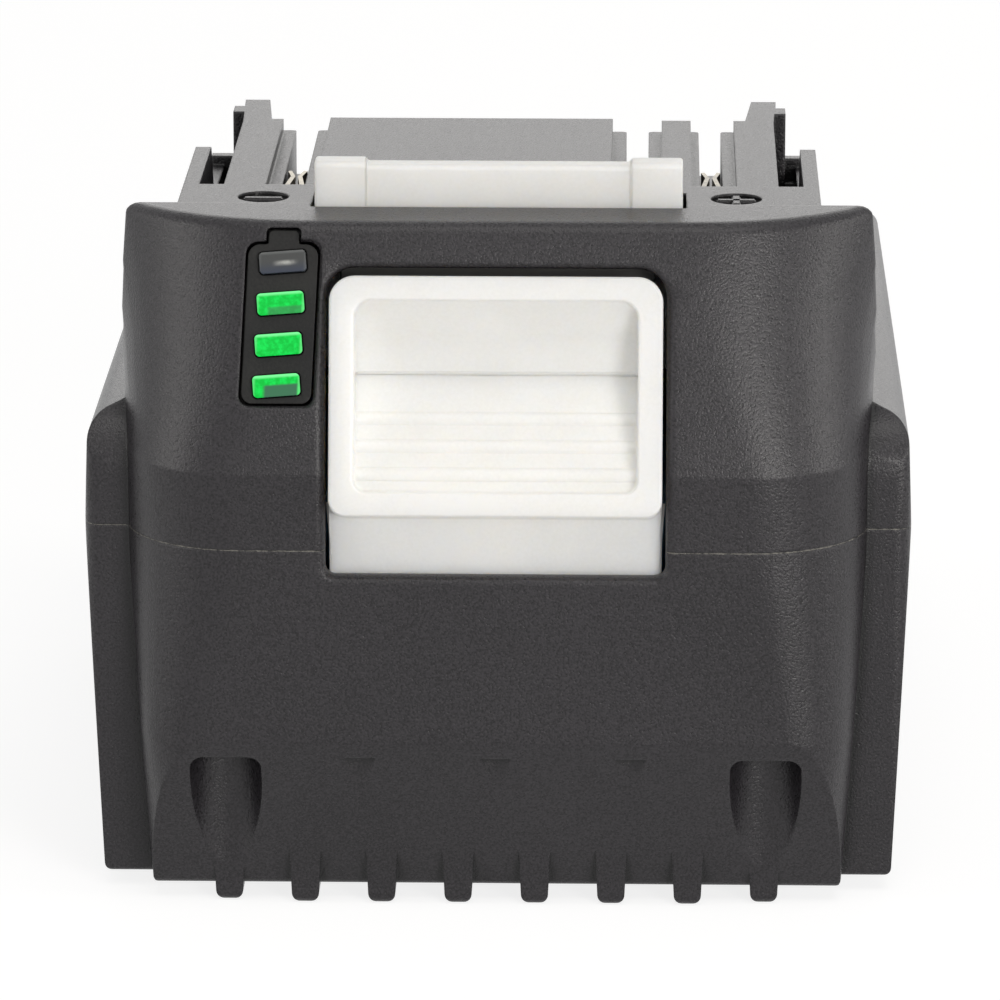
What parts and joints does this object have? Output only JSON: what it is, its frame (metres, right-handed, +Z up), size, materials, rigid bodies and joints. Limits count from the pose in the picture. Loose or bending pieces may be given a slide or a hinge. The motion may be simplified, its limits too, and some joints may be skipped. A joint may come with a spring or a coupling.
{
  "type": "power tool battery pack",
  "caption": "Slide-on rechargeable battery pack for cordless tools with a spring-loaded release latch, charge gauge key, rail channels and contact slots on top.",
  "frame": {"origin": "centre of the overall box on the plane of the foot ribs' undersides", "axes": "+X to the right seen from the latch, +Y from the latch front to the rear, +Z up towards the tool interface"},
  "size_m": [0.0786, 0.1112, 0.0705],
  "materials": {
    "housing": "spark-eroded texture",
    "latch": "satin",
    "key": "satin",
    "window": "clear",
    "contact": "nickel plated",
    "steel": "plain",
    "board": "solder mask",
    "component": "moulded",
    "cable": "film",
    "holder": "moulded",
    "cell": "shrink sleeve",
    "insulator": "fibre sheet"
  },
  "bodies": {
    "housing": {"lower_shell": "housing", "upper_shell": "housing", "latch_spring": "steel", "indicator_board": "board", "indicator_lamps": "cable", "gauge_switch": "component", "indicator_cable": "cable", "main_board": "board", "board_components": "component", "board_screws": "steel", "terminal_negative": "contact", "terminal_signal": "contact", "terminal_positive": "contact", "cell_holder_left": "holder", "cell_holder_right": "holder", "cell_1": "cell", "cell_2": "cell", "cell_3": "cell", "cell_4": "cell", "cell_5": "cell", "cell_6": "cell", "cell_7": "cell", "cell_8": "cell", "cell_9": "cell", "cell_10": "cell", "bus_strip_negative": "contact", "bus_strip_1": "contact", "bus_strip_2": "contact", "bus_strip_3": "contact", "bus_strip_4": "contact", "bus_strip_positive": "contact", "insulator_left": "insulator", "insulator_right": "insulator", "temperature_sensor": "component", "housing_screws": "steel"},
    "latch": {"release_latch": "latch"},
    "gauge": {"gauge_key": "key", "gauge_light_guide": "window"}
  },
  "joints": [
    {"name": "latch_slide", "type": "slide", "parent": "housing", "child": "latch", "axis": [0, 0, -1], "range_m": [0, 0.005], "stiffness_N_per_m": 1500, "springref_m": -0.004, "deforming": ["latch_spring"]},
    {"name": "gauge_press", "type": "slide", "parent": "housing", "child": "gauge", "axis": [0, 0.9579, -0.2872], "range_m": [0, 0.0004], "stiffness_N_per_m": 2500, "springref_m": -0.0004}
  ]
}
